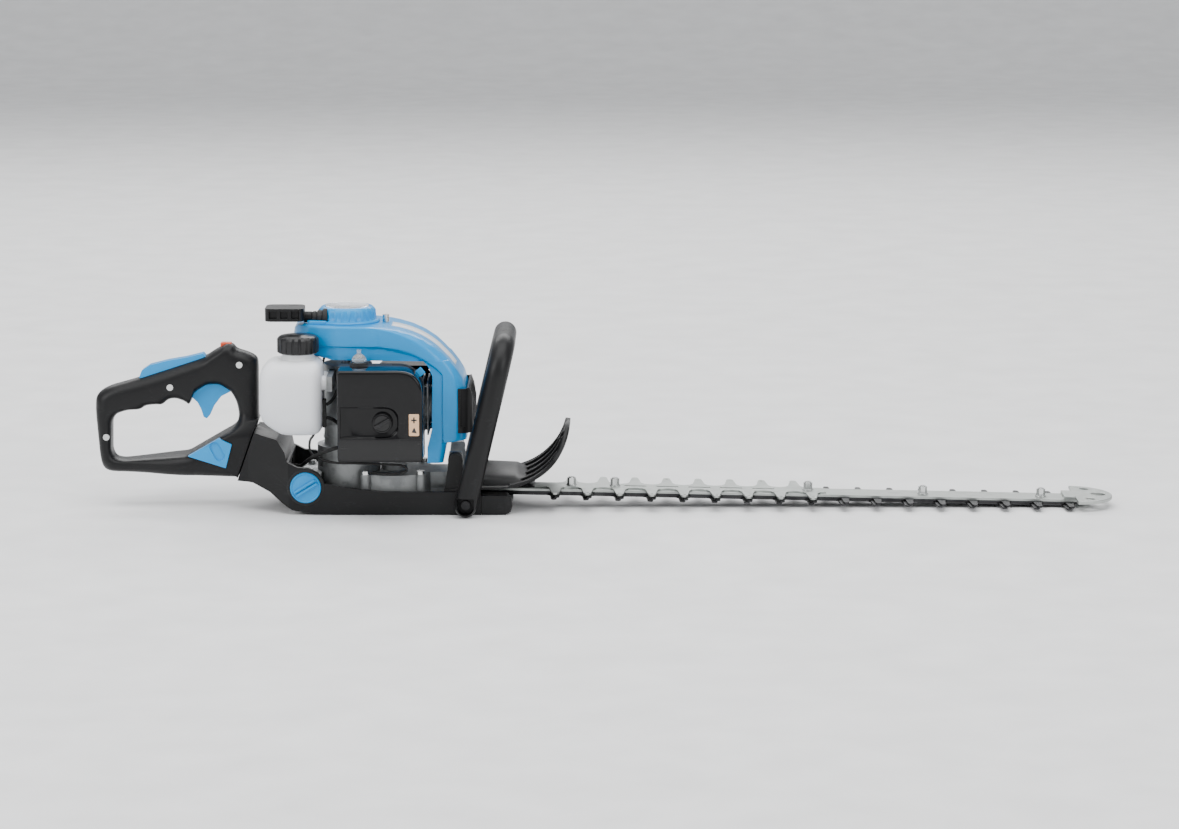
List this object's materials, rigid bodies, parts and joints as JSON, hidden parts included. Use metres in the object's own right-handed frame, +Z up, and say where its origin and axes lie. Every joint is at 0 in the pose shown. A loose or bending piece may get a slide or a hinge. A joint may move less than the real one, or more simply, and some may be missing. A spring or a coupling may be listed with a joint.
{
  "type": "hedge trimmer",
  "caption": "Petrol hedge trimmer with a swivelling rear handle, front loop handle, curved hand guard and double-sided reciprocating blades.",
  "frame": {"origin": "on the flat underside of the base, right below the crankshaft", "axes": "+X along the blades towards the tip, +Z up from the base, +Y to the muffler side"},
  "size_m": [1.1115, 0.195, 0.222],
  "materials": {
    "black_plastic": "fine moulded texture",
    "gloss_black": "high gloss",
    "dark_plastic": "semi matte",
    "blue_plastic": "gloss moulded",
    "cast_metal": "sand cast",
    "machined_steel": "machined",
    "satin_steel": "satin",
    "dark_steel": "blackened, oiled",
    "zinc": "bright zinc",
    "rubber": "matt",
    "foam": "open foam",
    "tank_plastic": "translucent white",
    "clear_bulb": "clear soft plastic",
    "switch_orange": "gloss moulded"
  },
  "bodies": {
    "chassis": {"base_tray": "black_plastic", "front_foot": "black_plastic", "side_caps": "blue_plastic", "rubber_mounts": "rubber", "gear_case": "cast_metal", "gear_case_cover": "cast_metal", "machine_screws": "zinc", "bearings": "machined_steel", "crankcase": "cast_metal", "cylinder": "cast_metal", "spark_plug": "zinc", "plug_cap": "rubber", "muffler": "dark_steel", "muffler_guard": "black_plastic", "carburettor": "cast_metal", "throttle_cable": "rubber", "air_cleaner_base": "dark_plastic", "filter_foam": "foam", "air_cleaner_cover": "gloss_black", "engine_shroud": "blue_plastic", "starter_housing": "blue_plastic", "front_grille": "black_plastic", "ignition_coil": "dark_steel", "stop_wires": "rubber", "fuel_tank": "tank_plastic", "tank_grommet": "rubber", "fuel_lines": "rubber", "front_handle": "black_plastic", "front_handle_bolts": "zinc", "hand_guard": "black_plastic", "guide_bar": "dark_steel", "guard_plate": "satin_steel", "tip_plate": "dark_steel", "blade_bolts": "zinc", "blade_nuts": "zinc", "swivel_ring": "machined_steel"},
    "rear_handle": {"handle_half_right": "black_plastic", "handle_half_left": "black_plastic", "handle_screws": "zinc"},
    "trigger_lever": {"trigger": "blue_plastic"},
    "lockout": {"lockout_lever": "blue_plastic"},
    "switch_slider": {"stop_switch": "switch_orange"},
    "lock_slider": {"swivel_lock": "blue_plastic"},
    "filler_cap": {"fuel_cap": "black_plastic"},
    "knob": {"cover_knob": "black_plastic"},
    "choke": {"choke_lever": "blue_plastic"},
    "primer": {"primer_bulb": "clear_bulb"},
    "pull_grip": {"starter_grip": "black_plastic"},
    "pulley": {"recoil_pulley": "dark_plastic"},
    "crank": {"crankshaft": "machined_steel", "flywheel": "cast_metal", "clutch_shoes": "dark_steel"},
    "drum": {"clutch_drum": "machined_steel"},
    "big_gear": {"crank_gear": "machined_steel"},
    "piston_set": {"piston": "machined_steel", "connecting_rod": "machined_steel"},
    "blade_top": {"upper_rod": "machined_steel", "upper_blade": "dark_steel"},
    "blade_bottom": {"lower_rod": "machined_steel", "lower_blade": "dark_steel"}
  },
  "joints": [
    {"name": "handle_swivel", "type": "hinge", "parent": "chassis", "child": "rear_handle", "pos_m": [-0.1095, 0, 0.0615], "axis": [0.9415, 0, -0.3371], "range_deg": [-90, 90]},
    {"name": "trigger_pull", "type": "hinge", "parent": "rear_handle", "child": "trigger_lever", "pos_m": [-0.133, 0, 0.137], "axis": [0, 1, 0], "range_deg": [0, 14], "stiffness_Nm_per_rad": 0.4, "springref_deg": -8.59},
    {"name": "lockout_press", "type": "hinge", "parent": "rear_handle", "child": "lockout", "pos_m": [-0.16, 0, 0.157], "axis": [0, -1, 0], "range_deg": [0, 8], "stiffness_Nm_per_rad": 0.5, "springref_deg": -8.59},
    {"name": "switch_slide", "type": "slide", "parent": "rear_handle", "child": "switch_slider", "axis": [-1, 0, 0], "range_m": [0, 0.004]},
    {"name": "lock_slide", "type": "slide", "parent": "rear_handle", "child": "lock_slider", "axis": [-1, 0, 0], "range_m": [0, 0.008], "stiffness_N_per_m": 300, "springref_m": -0.003},
    {"name": "cap_turn", "type": "hinge", "parent": "chassis", "child": "filler_cap", "pos_m": [-0.05, -0.05, 0.185], "axis": [0, 0, 1], "continuous": true},
    {"name": "knob_turn", "type": "hinge", "parent": "chassis", "child": "knob", "pos_m": [0.0425, -0.1, 0.109], "axis": [0, -1, 0], "range_deg": [0, 90]},
    {"name": "choke_turn", "type": "hinge", "parent": "chassis", "child": "choke", "pos_m": [0.0585, -0.058, 0.138], "axis": [0, -1, 0], "range_deg": [0, 45]},
    {"name": "primer_press", "type": "slide", "parent": "chassis", "child": "primer", "axis": [0, 0, -1], "range_m": [0, 0.0035], "stiffness_N_per_m": 400, "springref_m": -0.001},
    {"name": "starter_pull", "type": "slide", "parent": "chassis", "child": "pull_grip", "axis": [-1, 0, 0], "range_m": [0, 0.04], "stiffness_N_per_m": 60, "springref_m": -0.03},
    {"name": "pulley_spin", "type": "hinge", "parent": "chassis", "child": "pulley", "pos_m": [0, 0, 0.21], "axis": [0, 0, 1], "range_deg": [-140, 0]},
    {"name": "crank_spin", "type": "hinge", "parent": "chassis", "child": "crank", "pos_m": [0, 0, 0.112], "axis": [0, 0, 1], "continuous": true},
    {"name": "piston_slide", "type": "slide", "parent": "chassis", "child": "piston_set", "axis": [1, 0, 0], "range_m": [-0.028, 0]},
    {"name": "gear_spin", "type": "hinge", "parent": "chassis", "child": "big_gear", "pos_m": [0.04965, 0, 0.03], "axis": [0, 0, 1], "continuous": true},
    {"name": "drum_spin", "type": "hinge", "parent": "chassis", "child": "drum", "pos_m": [0, 0, 0.03], "axis": [0, 0, 1], "continuous": true},
    {"name": "blade_slide", "type": "slide", "parent": "chassis", "child": "blade_top", "axis": [0.9998, 0, -0.0209], "range_m": [-0.01, 0.01]},
    {"name": "lower_blade_slide", "type": "slide", "parent": "chassis", "child": "blade_bottom", "axis": [0.9998, 0, -0.0209], "range_m": [-0.01, 0.01]}
  ],
  "couplings": [
    {"joint": "pulley_spin", "follows": "starter_pull", "rad_per_m": -58.8},
    {"joint": "drum_spin", "follows": "gear_spin", "ratio": -4.5},
    {"joint": "lower_blade_slide", "follows": "blade_slide", "ratio": -1}
  ]
}
